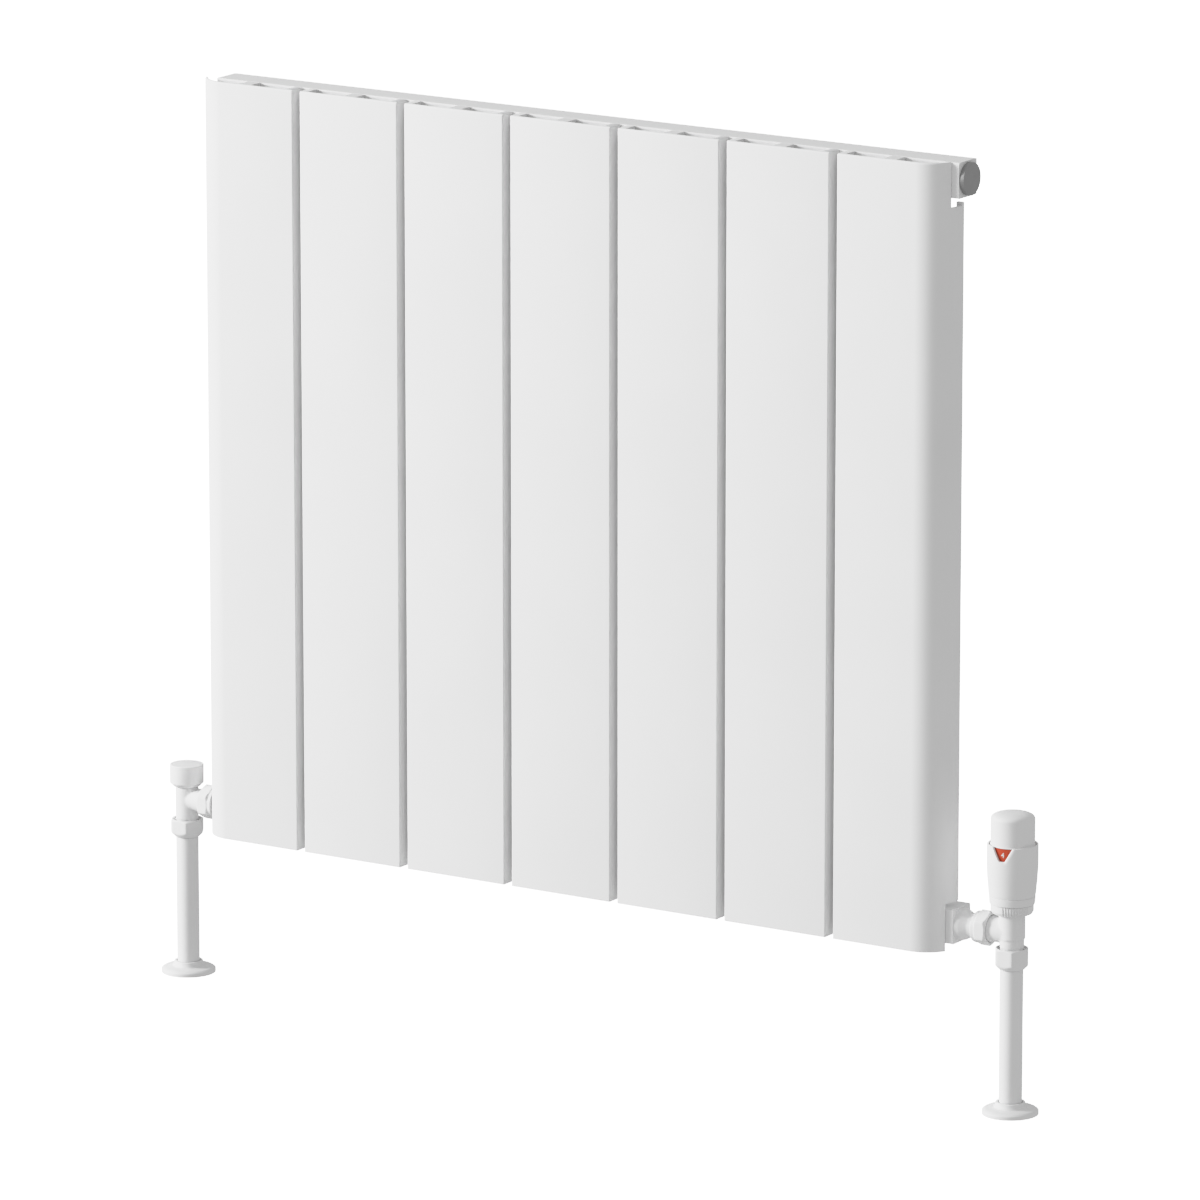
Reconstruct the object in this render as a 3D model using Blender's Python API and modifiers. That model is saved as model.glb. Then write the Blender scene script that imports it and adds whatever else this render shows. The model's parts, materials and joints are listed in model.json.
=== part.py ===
"""Panel radiator on two headers, with a thermostatic valve on the right, a lockshield valve on the
left and covered pipes that rise from the floor.

X runs along the radiator, Y from the room to the wall, Z up. The origin is on the floor, midway
between the two pipes and midway between the panels' front plane and the wall.
"""
import math

import bmesh
import bpy

MM = 0.001
OBJECT_NAME = "radiator_with_valve"

# Driving dimensions
PANEL_COUNT = 7
PANEL_PITCH = 96.0 * MM
PANEL_WIDTH = 89.4 * MM
PANEL_HEIGHT = 600.0 * MM
PANEL_DEPTH = 29.0 * MM
PANEL_BOTTOM = 121.0 * MM
PIPE_SPACING = 750.0 * MM
PROJECTION = 75.0 * MM
GAP = 0.3 * MM

# Panel section
FIRST_PANEL_X = -341.0 * MM
END_EXTRA = 3.0 * MM
END_RADIUS = 25.0 * MM
EDGE_RADIUS = 1.0 * MM
PLATE = 2.0 * MM
WALL = 6.8 * MM
WEB_LEFT = 39.5 * MM
WEB_RIGHT = 50.5 * MM
LIP = 3.0 * MM
CHANNEL_WIDTH = 6.0 * MM
CHANNEL_DEPTH = 9.0 * MM

# Headers
HEADER_LENGTH = 662.4 * MM
HEADER_SETBACK = 14.6 * MM
HEADER_DEPTH = 25.6 * MM
HEADER_HEIGHT = 27.0 * MM
HEADER_RISE = 6.1 * MM
HEADER_WALL = 1.5 * MM
HEADER_RADIUS = 2.0 * MM
TOP_NOTCH = 7.0 * MM
TOP_LIP_NOTCH = 4.5 * MM
BOTTOM_NOTCH = 3.7 * MM
BOSS_LENGTH = 12.0 * MM
BOSS_BORE = 10.5 * MM

# Brackets
BRACKET_WIDTH = 24.0 * MM
BRACKET_STEEL = 3.0 * MM
PAD_THICKNESS = 2.0 * MM
LEG_HEIGHT = 8.0 * MM
PLATE_ABOVE = 14.0 * MM
PLATE_BELOW = 16.0 * MM
SCREW_HOLE_RADIUS = 2.75 * MM
SCREW_HEIGHTS = (6.5 * MM, -11.0 * MM)
BRACKET_PANELS = (1, 5)

# Pipes and covers
PIPE_RADIUS = 7.5 * MM
PIPE_BORE = 6.8 * MM
SLEEVE_RADIUS = 8.75 * MM
SLEEVE_BORE = 7.8 * MM
ROSE_RADIUS = 21.35 * MM
ROSE_BORE = 9.3 * MM

# Valves
COMPRESSION_FLATS = 24.6 * MM
UNION_FLATS = 24.5 * MM
WINDOW_TURN = math.radians(6.0)
CAVITY_TURN = (0, 0, math.radians(3.0))

ROUND_STEPS = 24
SMALL_STEPS = 16

# Derived places
FRONT_Y = -PROJECTION / 2
WALL_Y = PROJECTION / 2
HEADER_FRONT_Y = FRONT_Y + HEADER_SETBACK
AXIS_Y = HEADER_FRONT_Y + HEADER_DEPTH / 2
PIPE_X = PIPE_SPACING / 2
HEADER_END_X = HEADER_LENGTH / 2
PANEL_TOP = PANEL_BOTTOM + PANEL_HEIGHT
BOTTOM_UNDERSIDE = PANEL_BOTTOM + HEADER_RISE
TOP_UNDERSIDE = PANEL_TOP - HEADER_HEIGHT
BRANCH_Z = BOTTOM_UNDERSIDE + HEADER_HEIGHT / 2
TOP_AXIS_Z = TOP_UNDERSIDE + HEADER_HEIGHT / 2
REACH = PIPE_X - HEADER_END_X
OUT_OF_PANEL = 20.0 * MM


def clear_scene():
    for old in list(bpy.data.objects):
        bpy.data.objects.remove(old, do_unlink=True)


def make_collection(name):
    collection = bpy.data.collections.new(name)
    bpy.context.scene.collection.children.link(collection)
    return collection


def make_material(name, colour, roughness, metallic):
    material = bpy.data.materials.new(name)
    material.use_nodes = True
    shader = material.node_tree.nodes["Principled BSDF"]
    shader.inputs["Base Color"].default_value = (*colour, 1.0)
    shader.inputs["Roughness"].default_value = roughness
    shader.inputs["Metallic"].default_value = metallic
    return material


clear_scene()
PARTS = make_collection(OBJECT_NAME)
CUTTERS = make_collection("cutters")

WHITE_COAT = make_material("white_coat", (0.85, 0.85, 0.85), 0.35, 0.0)
VALVE_WHITE = make_material("valve_white", (0.83, 0.83, 0.83), 0.3, 0.0)
HEAD_PLASTIC = make_material("head_plastic", (0.86, 0.86, 0.86), 0.3, 0.0)
DIAL_RED = make_material("dial_red", (0.65, 0.09, 0.04), 0.4, 0.0)
PLUG_NICKEL = make_material("plug_nickel", (0.5, 0.5, 0.5), 0.3, 0.9)
BRASS = make_material("brass", (0.68, 0.5, 0.22), 0.35, 1.0)
COPPER = make_material("copper", (0.72, 0.38, 0.25), 0.35, 1.0)
STEEL = make_material("steel", (0.6, 0.6, 0.6), 0.3, 1.0)
RUBBER = make_material("rubber", (0.03, 0.03, 0.03), 0.8, 0.0)
PAD_PLASTIC = make_material("pad_plastic", (0.2, 0.2, 0.2), 0.6, 0.0)


def place(piece, material, location, rotation):
    piece.location = location
    piece.rotation_euler = rotation
    if material is None:
        CUTTERS.objects.link(piece)
        piece.hide_render = True
        piece.display_type = "WIRE"
    else:
        PARTS.objects.link(piece)
        piece.data.materials.append(material)
    return piece


def combine(piece, other, operation):
    modifier = piece.modifiers.new(operation.lower(), "BOOLEAN")
    modifier.operation = operation
    modifier.solver = "EXACT"
    modifier.object = other


def cut(piece, *cutters):
    for cutter in cutters:
        combine(piece, cutter, "DIFFERENCE")


def turned(name, profile, material=None, location=(0, 0, 0), rotation=(0, 0, 0), steps=ROUND_STEPS,
           closed=False):
    """Turn a profile of (radius, height) points, in millimetres, listed down the outer side."""
    points = [(radius * MM, 0.0, height * MM) for radius, height in profile]
    edges = [(index, index + 1) for index in range(len(points) - 1)]
    if closed:
        edges.append((len(points) - 1, 0))
    mesh = bpy.data.meshes.new(name)
    mesh.from_pydata(points, edges, [])
    piece = bpy.data.objects.new(name, mesh)
    screw = piece.modifiers.new("turn", "SCREW")
    screw.axis = "Z"
    screw.angle = 2 * math.pi
    screw.steps = steps
    screw.render_steps = steps
    screw.use_merge_vertices = True
    screw.merge_threshold = 0.00001
    screw.use_smooth_shade = True
    return place(piece, material, location, rotation)


def rod(radius, bottom, top):
    """Profile of a plain solid cylinder, in millimetres."""
    return [(0, top), (radius, top), (radius, bottom), (0, bottom)]


def outline_solid(name, loops, thickness, material=None, location=(0, 0, 0), rotation=(0, 0, 0)):
    """Extrude flat closed outlines, the first the outside and the rest holes, into one mesh."""
    curve = bpy.data.curves.new(name, "CURVE")
    curve.dimensions = "2D"
    curve.fill_mode = "BOTH"
    curve.extrude = thickness / 2
    for loop in loops:
        spline = curve.splines.new("POLY")
        spline.points.add(len(loop) - 1)
        for point, (x, y) in zip(spline.points, loop):
            point.co = (x, y, 0, 1)
        spline.use_cyclic_u = True
    return curve_to_mesh(name, curve, material, location, rotation)


def curve_to_mesh(name, curve, material, location, rotation):
    source = bpy.data.objects.new(name + "_curve", curve)
    PARTS.objects.link(source)
    evaluated = source.evaluated_get(bpy.context.evaluated_depsgraph_get())
    mesh = bpy.data.meshes.new_from_object(evaluated)
    bpy.data.objects.remove(source, do_unlink=True)
    mesh.name = name
    shape = bmesh.new()
    shape.from_mesh(mesh)
    bmesh.ops.remove_doubles(shape, verts=shape.verts, dist=0.000001)
    bmesh.ops.recalc_face_normals(shape, faces=shape.faces)
    shape.to_mesh(mesh)
    shape.free()
    mesh.materials.clear()
    piece = bpy.data.objects.new(name, mesh)
    return place(piece, material, location, rotation)


def boxes(name, corner_pairs, material=None):
    """One mesh of separate boxes, each given by its lowest and highest corner."""
    shape = bmesh.new()
    for low, high in corner_pairs:
        made = bmesh.ops.create_cube(shape, size=1.0)["verts"]
        size = [b - a for a, b in zip(low, high)]
        centre = [(a + b) / 2 for a, b in zip(low, high)]
        bmesh.ops.scale(shape, vec=size, verts=made)
        bmesh.ops.translate(shape, vec=centre, verts=made)
    mesh = bpy.data.meshes.new(name)
    shape.to_mesh(mesh)
    shape.free()
    return place(bpy.data.objects.new(name, mesh), material, (0, 0, 0), (0, 0, 0))


def arc(centre, radius, start_degrees, end_degrees, pieces):
    """Points along an arc, ends included."""
    points = []
    for index in range(pieces + 1):
        angle = math.radians(start_degrees + (end_degrees - start_degrees) * index / pieces)
        points.append((centre[0] + radius * math.cos(angle), centre[1] + radius * math.sin(angle)))
    return points


def rounded_rectangle(width, height, radius, pieces=4):
    """Closed outline centred on the origin."""
    x = width / 2 - radius
    y = height / 2 - radius
    points = []
    for quarter, (sign_x, sign_y) in enumerate([(1, 1), (-1, 1), (-1, -1), (1, -1)]):
        start = quarter * 90
        points += arc((sign_x * x, sign_y * y), radius, start, start + 90, pieces)
    return points


def circle(radius, pieces=ROUND_STEPS):
    return arc((0, 0), radius, 0, 360 * (pieces - 1) / pieces, pieces - 1)


# ---------------------------------------------------------------- panels

def panel_outline(right_end):
    """Open-backed comb: front plate, two side walls with a lip inward, and a middle web."""
    width = PANEL_WIDTH + (END_EXTRA if right_end else 0)
    corner = END_RADIUS if right_end else EDGE_RADIUS
    corner_pieces = 10 if right_end else 2
    outline = arc((EDGE_RADIUS, EDGE_RADIUS), EDGE_RADIUS, 180, 270, 2)
    outline += arc((width - corner, corner), corner, 270, 360, corner_pieces)
    lip_x = width - (PLATE if right_end else WALL)
    outline += [(width, PANEL_DEPTH), (lip_x - LIP, PANEL_DEPTH)]
    outline += [(lip_x - LIP, PANEL_DEPTH - LIP), (lip_x, PANEL_DEPTH - LIP)]
    if right_end:
        outline += arc((width - corner, corner), corner - PLATE, 360, 270, corner_pieces)
    else:
        outline += [(lip_x, PLATE)]
    outline += [(WEB_RIGHT, PLATE), (WEB_RIGHT, PANEL_DEPTH), (WEB_LEFT, PANEL_DEPTH), (WEB_LEFT, PLATE)]
    outline += [(WALL, PLATE), (WALL, PANEL_DEPTH - LIP), (WALL + LIP, PANEL_DEPTH - LIP)]
    outline += [(WALL + LIP, PANEL_DEPTH), (0, PANEL_DEPTH)]
    return outline


def water_channel():
    """Rectangular channel down the web, centred over the headers' ports."""
    x = (WEB_LEFT + WEB_RIGHT) / 2
    y = PANEL_DEPTH - PLATE - CHANNEL_DEPTH / 2
    corners = rounded_rectangle(CHANNEL_WIDTH, CHANNEL_DEPTH, EDGE_RADIUS, 1)
    return [(x + corner_x, y + corner_y) for corner_x, corner_y in corners]


def mirrored(points):
    return [(PANEL_WIDTH - x, y) for x, y in reversed(points)]


def notch_cutters():
    """Cutters shared by all panels: the headers' slots, and the higher notches in the side walls."""
    far = PIPE_X
    slot_y = HEADER_FRONT_Y - GAP
    back_y = FRONT_Y + PANEL_DEPTH + OUT_OF_PANEL
    lip_y = FRONT_Y + PANEL_DEPTH - LIP - GAP
    over = PANEL_TOP + OUT_OF_PANEL
    under = PANEL_BOTTOM - OUT_OF_PANEL
    slots = boxes("header_slots", [
        ((-far, slot_y, TOP_UNDERSIDE - GAP), (far, back_y, over)),
        ((-far, slot_y, under), (far, back_y, BOTTOM_UNDERSIDE + HEADER_HEIGHT + GAP)),
    ])
    notches = []
    for index in range(-1, PANEL_COUNT):
        left = FIRST_PANEL_X + index * PANEL_PITCH + WEB_RIGHT
        right = FIRST_PANEL_X + (index + 1) * PANEL_PITCH + WEB_LEFT
        bottom_top = BOTTOM_UNDERSIDE + HEADER_HEIGHT + BOTTOM_NOTCH
        notches += [
            ((left, slot_y, TOP_UNDERSIDE - TOP_NOTCH), (right, lip_y, over)),
            ((left, slot_y, TOP_UNDERSIDE - TOP_LIP_NOTCH), (right, back_y, over)),
            ((left, slot_y, under), (right, back_y, bottom_top)),
        ]
    floors = boxes("wall_notches", notches[0::3])
    lips = boxes("lip_notches", notches[1::3])
    ceilings = boxes("bottom_notches", notches[2::3])
    return slots, floors, lips, ceilings


def make_panels():
    cutters = notch_cutters()
    middle = panel_outline(False)
    end = panel_outline(True)
    for index in range(PANEL_COUNT):
        outline = middle
        if index == PANEL_COUNT - 1:
            outline = end
        if index == 0:
            outline = mirrored(end)
        x = FIRST_PANEL_X + index * PANEL_PITCH
        location = (x, FRONT_Y, PANEL_BOTTOM + PANEL_HEIGHT / 2)
        panel = outline_solid(f"panel_{index + 1}", [outline, water_channel()], PANEL_HEIGHT, WHITE_COAT,
                              location)
        cut(panel, *cutters)


# ---------------------------------------------------------------- headers

ALONG_X = (math.pi / 2, 0, math.pi / 2)


def make_header(name, axis_z, port_wall):
    """Rectangular tube with one port for each panel's channel, in its top (+1) or bottom (-1) wall."""
    outside = rounded_rectangle(HEADER_DEPTH, HEADER_HEIGHT, HEADER_RADIUS)
    inside = rounded_rectangle(HEADER_DEPTH - 2 * HEADER_WALL, HEADER_HEIGHT - 2 * HEADER_WALL,
                               HEADER_RADIUS - HEADER_WALL, 2)
    header = outline_solid(name, [outside, inside], HEADER_LENGTH, WHITE_COAT, (0, AXIS_Y, axis_z), ALONG_X)
    wall_z = axis_z + port_wall * (HEADER_HEIGHT / 2 - HEADER_WALL / 2)
    channel_y = FRONT_Y + PANEL_DEPTH - PLATE - CHANNEL_DEPTH / 2
    ports = []
    for index in range(PANEL_COUNT):
        x = FIRST_PANEL_X + index * PANEL_PITCH + (WEB_LEFT + WEB_RIGHT) / 2
        low = (x - CHANNEL_WIDTH / 2, channel_y - CHANNEL_DEPTH / 2, wall_z - HEADER_WALL)
        high = (x + CHANNEL_WIDTH / 2, channel_y + CHANNEL_DEPTH / 2, wall_z + HEADER_WALL)
        ports.append((low, high))
    cut(header, boxes(name + "_ports", ports))


def make_boss(name, side, axis_z):
    """Threaded block that closes a header's end round a plug or a valve tail."""
    inset = 2 * (HEADER_WALL + GAP)
    outside = rounded_rectangle(HEADER_DEPTH - inset, HEADER_HEIGHT - inset, HEADER_RADIUS - HEADER_WALL, 2)
    location = (side * (HEADER_END_X - BOSS_LENGTH / 2), AXIS_Y, axis_z)
    outline_solid(name, [outside, circle(BOSS_BORE)], BOSS_LENGTH, WHITE_COAT, location, ALONG_X)


def outward(side):
    """Rotation that points a turned piece's +Z away from the radiator."""
    return (0, side * math.pi / 2, 0)


def plug_profile(bore):
    """Flange with a seal groove behind it and a stem inside the boss, outside at the top."""
    outer = [(11.0, 4.0), (12.05, 3.7), (12.35, 3.2), (12.35, 0.3), (11.9, 0.3), (11.9, 1.5), (10.2, 1.5),
             (10.2, -9.0)]
    if bore == 0:
        return [(0, 4.0)] + outer + [(0, -9.0)]
    return [(5.2, 4.0)] + outer + [(bore, -9.0), (bore, 1.0), (5.2, 1.0)]


def seal_profile():
    return [(11.6, 1.2), (11.6, 0.3), (10.5, 0.3), (10.5, 1.2)]


def make_top_plugs():
    right = (HEADER_END_X, AXIS_Y, TOP_AXIS_Z)
    left = (-HEADER_END_X, AXIS_Y, TOP_AXIS_Z)
    turned("blanking_plug", plug_profile(0), PLUG_NICKEL, right, outward(1))
    turned("blanking_plug_seal", seal_profile(), RUBBER, right, outward(1), closed=True)
    turned("air_vent_plug", plug_profile(2.1), PLUG_NICKEL, left, outward(-1), closed=True)
    turned("air_vent_seal", seal_profile(), RUBBER, left, outward(-1), closed=True)
    screw = turned("bleed_screw", [(0, 1.6), (4.4, 1.6), (4.4, 1.3), (1.8, 1.3), (1.8, -7.0), (0, -8.4)],
                   BRASS, left, outward(-1), SMALL_STEPS)
    half = 2.3 * MM
    face_x = -HEADER_END_X - 1.3 * MM
    key = boxes("bleed_key", [((face_x - 2.4 * MM, AXIS_Y - half, TOP_AXIS_Z - half),
                               (face_x, AXIS_Y + half, TOP_AXIS_Z + half))])
    combine(screw, key, "UNION")


# ---------------------------------------------------------------- brackets

def bracket_outline():
    """Side view of the J-shaped bracket, from the header's front face and underside."""
    front = -PAD_THICKNESS - 2 * GAP - BRACKET_STEEL
    inner = front + BRACKET_STEEL
    under = front
    over = inner
    wall = WALL_Y - HEADER_FRONT_Y
    face = wall - BRACKET_STEEL
    return [(front, under), (face, under), (face, -PLATE_BELOW), (wall, -PLATE_BELOW), (wall, PLATE_ABOVE),
            (face, PLATE_ABOVE), (face, over), (inner, over), (inner, LEG_HEIGHT), (front, LEG_HEIGHT)]


def pad_outline():
    """U-shaped liner between the bracket and the header."""
    near = -GAP
    far = HEADER_DEPTH + GAP
    return [(near - PAD_THICKNESS, -GAP - PAD_THICKNESS), (far + PAD_THICKNESS, -GAP - PAD_THICKNESS),
            (far + PAD_THICKNESS, LEG_HEIGHT), (far, LEG_HEIGHT), (far, -GAP), (near, -GAP),
            (near, LEG_HEIGHT), (near - PAD_THICKNESS, LEG_HEIGHT)]


def bracket_x(panel_index, pocket_left, pocket_right):
    return FIRST_PANEL_X + panel_index * PANEL_PITCH + (pocket_left + pocket_right) / 2


def make_brackets():
    left = bracket_x(BRACKET_PANELS[0], WALL, WEB_LEFT)
    right = bracket_x(BRACKET_PANELS[1], WEB_RIGHT, PANEL_WIDTH - WALL)
    places = [(left, TOP_UNDERSIDE), (right, TOP_UNDERSIDE), (left, BOTTOM_UNDERSIDE),
              (right, BOTTOM_UNDERSIDE)]
    for number, (x, underside) in enumerate(places, start=1):
        location = (x, HEADER_FRONT_Y, underside)
        bracket = outline_solid(f"wall_bracket_{number}", [bracket_outline()], BRACKET_WIDTH, STEEL, location,
                                ALONG_X)
        outline_solid(f"bracket_pad_{number}", [pad_outline()], BRACKET_WIDTH, PAD_PLASTIC, location, ALONG_X)
        for hole, height in enumerate(SCREW_HEIGHTS, start=1):
            drill = turned(f"screw_hole_{number}_{hole}", rod(SCREW_HOLE_RADIUS / MM, -6, 6), None,
                           (x, WALL_Y, underside + height), (math.pi / 2, 0, 0), SMALL_STEPS)
            cut(bracket, drill)


# ---------------------------------------------------------------- valves

def inward(side):
    """Rotation that points a turned piece's +Z from the pipe towards the radiator."""
    return (0, -side * math.pi / 2, 0)


def at_branch(side):
    return (side * PIPE_X, AXIS_Y, BRANCH_Z)


def hex_nut(name, flats, body_profile, location, rotation, material):
    """Hexagonal prism trimmed to a turned form that carries its bore and its chamfered ends."""
    corner = flats / math.sqrt(3)
    heights = [point[1] * MM for point in body_profile]
    low = min(heights)
    high = max(heights)
    shape = bmesh.new()
    bmesh.ops.create_cone(shape, cap_ends=True, segments=6, radius1=corner, radius2=corner,
                          depth=high - low + 2 * MM)
    turn = math.radians(30)
    for vertex in shape.verts:
        x, y, z = vertex.co
        vertex.co = (x * math.cos(turn) - y * math.sin(turn), x * math.sin(turn) + y * math.cos(turn),
                     z + (low + high) / 2)
    mesh = bpy.data.meshes.new(name)
    shape.to_mesh(mesh)
    shape.free()
    nut = place(bpy.data.objects.new(name, mesh), material, location, rotation)
    form = turned(name + "_form", body_profile, None, location, rotation, closed=True)
    combine(nut, form, "INTERSECT")
    return nut


def make_union(side, prefix):
    """Union nut with a round collar, and the flared tail that it draws against the valve's branch."""
    reach = REACH / MM
    nut = [(11.0, 30.5), (12.1, 29.4), (12.1, 26.9), (14.4, 25.6), (14.4, 18.3), (12.2, 17.0), (10.5, 17.0),
           (10.5, 28.1), (8.3, 28.1), (8.3, 30.5)]
    hex_nut(prefix + "_union_nut", UNION_FLATS, nut, at_branch(side), inward(side), VALVE_WHITE)
    tail = [(10.2, reach + 9.5), (10.2, reach - 0.3), (12.5, reach - 0.3), (12.3, 40.0), (11.1, 36.5),
            (9.3, 33.4), (9.3, 30.8), (8.0, 30.8), (8.0, 27.8), (10.2, 27.8), (10.2, 23.5), (6.0, 23.5),
            (6.0, reach + 9.5)]
    turned(prefix + "_tail", tail, VALVE_WHITE, at_branch(side), inward(side), closed=True)


def make_compression_joint(side, prefix, bottom, top):
    """Nut and olive round the pipe, with heights from the branch axis in millimetres."""
    nut = [(12.2, top), (14.4, top - 1.3), (14.4, bottom + 4.4), (9.8, bottom), (7.8, bottom),
           (7.8, bottom + 2.4), (9.3, bottom + 2.4), (9.3, top - 1.6), (11.0, top - 1.6), (11.0, top)]
    hex_nut(prefix + "_compression_nut", COMPRESSION_FLATS, nut, at_branch(side), (0, 0, 0), VALVE_WHITE)
    low = bottom + 2.7
    olive = [(8.1, low + 2.5), (8.9, low + 1.7), (8.9, low + 0.8), (8.1, low), (7.75, low), (7.75, low + 2.5)]
    turned(prefix + "_olive", olive, BRASS, at_branch(side), closed=True)


def make_body(side, name, barrel, branch, cavity):
    """Upright barrel joined to a branch, bored from below, from above and from the branch."""
    body = turned(name, barrel, VALVE_WHITE, at_branch(side))
    combine(body, turned(name + "_branch", branch, None, at_branch(side), inward(side)), "UNION")
    cut(body, turned(name + "_cavity", cavity, None, at_branch(side), CAVITY_TURN))
    cut(body, turned(name + "_waterway", rod(6.0, 0, 30), None, at_branch(side), inward(side)))


def make_thermostatic_valve():
    side = 1
    centre = at_branch(side)
    bottom = -28.2
    stub_bottom = bottom + 5.5
    barrel = [(0, 19.6), (13.7, 19.6), (13.7, 15.3), (9.95, 15.3), (9.95, -4.7), (9.2, -5.4), (9.2, -11.8),
              (8.9, -11.8), (8.9, stub_bottom), (0, stub_bottom)]
    branch = [(0, 23.2), (10.2, 23.2), (10.2, 15.8), (9.5, 14.6), (9.5, 1.0), (0, 1.0)]
    cavity = [(0, 25.0), (8.3, 25.0), (8.3, 6.0), (7.0, 6.0), (7.0, -5.5), (5.5, -5.5), (5.5, -13.7),
              (7.75, -13.7), (7.75, stub_bottom - 5), (0, stub_bottom - 5)]
    make_body(side, "trv_body", barrel, branch, cavity)
    make_compression_joint(side, "trv", bottom, -12.1)
    make_union(side, "trv")

    turned("trv_insert", [(8.0, 19.6), (8.0, 6.3), (2.4, 6.3), (2.4, 9.0), (5.5, 9.0), (5.5, 19.6)], BRASS,
           centre, closed=True)
    turned("trv_spindle", [(0, 23.4), (2.0, 23.4), (2.0, 16.8), (4.9, 16.8), (4.9, 15.6), (2.0, 15.6),
                           (2.0, 0.3), (0, 0.3)], BRASS, centre, steps=SMALL_STEPS)
    turned("trv_disc", rod(6.2, -3.0, 0.0), RUBBER, centre, steps=SMALL_STEPS)
    make_spring("trv_spring", centre, 9.65, 14.95, 3.9, 0.35, 4)

    head_nut = [(16.15, 22.2), (16.15, 16.2), (15.75, 15.0), (14.0, 15.0), (14.0, 21.4), (11.8, 21.4),
                (11.8, 22.2)]
    turned("trv_head_nut", head_nut, HEAD_PLASTIC, centre, closed=True)
    head_base = [(15.5, 33.4), (15.5, 28.4), (17.5, 28.4), (17.0, 22.5), (11.5, 22.5), (11.5, 21.1),
                 (13.0, 21.1), (13.0, 19.9), (3.0, 19.9), (3.0, 26.0), (13.2, 26.0), (13.2, 33.4)]
    turned("trv_head_base", head_base, HEAD_PLASTIC, centre, closed=True)
    sleeve = turned("trv_sleeve", [(19.25, 68.4), (19.25, 48.2), (17.5, 28.7), (15.9, 28.7), (17.65, 48.2),
                                   (17.65, 68.4)], HEAD_PLASTIC, centre, closed=True)
    cut(sleeve, window_cutter(centre))
    cap = [(0, 92.4), (8.0, 92.1), (12.5, 91.2), (15.2, 89.4), (16.6, 86.4), (16.6, 68.7), (15.9, 68.2),
           (15.9, 53.4), (14.1, 53.4), (14.1, 86.0), (0, 89.5)]
    turned("trv_cap", cap, HEAD_PLASTIC, centre)
    turned("trv_number_drum", [(17.2, 67.9), (17.2, 55.4), (16.2, 55.4), (16.2, 67.9)], DIAL_RED, centre,
           closed=True)
    sensor = [(0, 56.4), (10.4, 56.4), (11.0, 55.8), (11.0, 36.3), (10.4, 35.7), (0, 35.7)]
    turned("trv_sensor", sensor, STEEL, centre, steps=SMALL_STEPS)
    turned("trv_push_pin", rod(1.6, 23.7, 35.4), STEEL, centre, steps=SMALL_STEPS)


def window_cutter(centre):
    """Tapered notch, wide at the rim and narrow below, that shows the number drum."""
    half_top = 7.4 * MM
    half_bottom = 1.8 * MM
    height = 10.6 * MM
    over = 1.5 * MM
    outline = [(-half_bottom, 0), (half_bottom, 0), (half_top, height + over), (-half_top, height + over)]
    distance = 20.0 * MM
    location = (centre[0] + distance * math.sin(WINDOW_TURN), centre[1] - distance * math.cos(WINDOW_TURN),
                centre[2] + 68.4 * MM - height)
    return outline_solid("window", [outline], 8 * MM, None, location, (math.pi / 2, 0, WINDOW_TURN))


def make_spring(name, centre, bottom, top, coil_radius, wire_radius, turns):
    points_per_turn = 12
    count = turns * points_per_turn + 1
    curve = bpy.data.curves.new(name, "CURVE")
    curve.dimensions = "3D"
    curve.bevel_depth = wire_radius * MM
    curve.bevel_resolution = 1
    curve.use_fill_caps = True
    spline = curve.splines.new("POLY")
    spline.points.add(count - 1)
    for index, point in enumerate(spline.points):
        angle = 2 * math.pi * index / points_per_turn
        height = bottom + (top - bottom) * index / (count - 1)
        point.co = (coil_radius * MM * math.cos(angle), coil_radius * MM * math.sin(angle), height * MM, 1)
    curve_to_mesh(name, curve, STEEL, centre, (0, 0, 0))


def make_lockshield_valve():
    side = -1
    centre = at_branch(side)
    bottom = -30.2
    stub_bottom = bottom + 5.5
    barrel = [(0, 13.0), (8.95, 13.0), (8.95, -15.8), (8.7, -15.8), (8.7, stub_bottom), (0, stub_bottom)]
    branch = [(0, 23.2), (10.2, 23.2), (10.2, 17.1), (9.5, 17.1), (9.5, 15.0), (8.6, 11.0), (7.4, 7.5),
              (7.4, 1.0), (0, 1.0)]
    cavity = [(0, 18.0), (6.7, 18.0), (6.7, -5.5), (5.0, -5.5), (5.0, -17.3), (7.75, -17.3),
              (7.75, stub_bottom - 5), (0, stub_bottom - 5)]
    make_body(side, "lockshield_body", barrel, branch, cavity)
    make_compression_joint(side, "lockshield", bottom, -16.1)
    make_union(side, "lockshield")

    bonnet = [(8.4, 16.3), (8.4, 13.3), (6.4, 13.3), (6.4, 5.0), (2.8, 5.0), (2.8, 16.3)]
    turned("lockshield_bonnet", bonnet, BRASS, centre, closed=True)
    turned("lockshield_disc", rod(6.0, -2.5, 0.5), RUBBER, centre, steps=SMALL_STEPS)
    spindle = turned("lockshield_spindle", rod(2.5, 0.8, 17.5), BRASS, centre, steps=SMALL_STEPS)
    half = 1.7 * MM
    square = boxes("lockshield_key", [((centre[0] - half, centre[1] - half, centre[2] + 17.0 * MM),
                                       (centre[0] + half, centre[1] + half, centre[2] + 21.8 * MM))])
    combine(spindle, square, "UNION")
    cap = [(0, 27.9), (12.6, 27.9), (13.25, 27.3), (13.25, 13.4), (10.25, 10.4), (9.3, 10.4),
           (11.3, 13.9), (11.3, 26.1), (0, 26.1)]
    turned("lockshield_cap", cap, HEAD_PLASTIC, centre)


# ---------------------------------------------------------------- pipes

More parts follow.
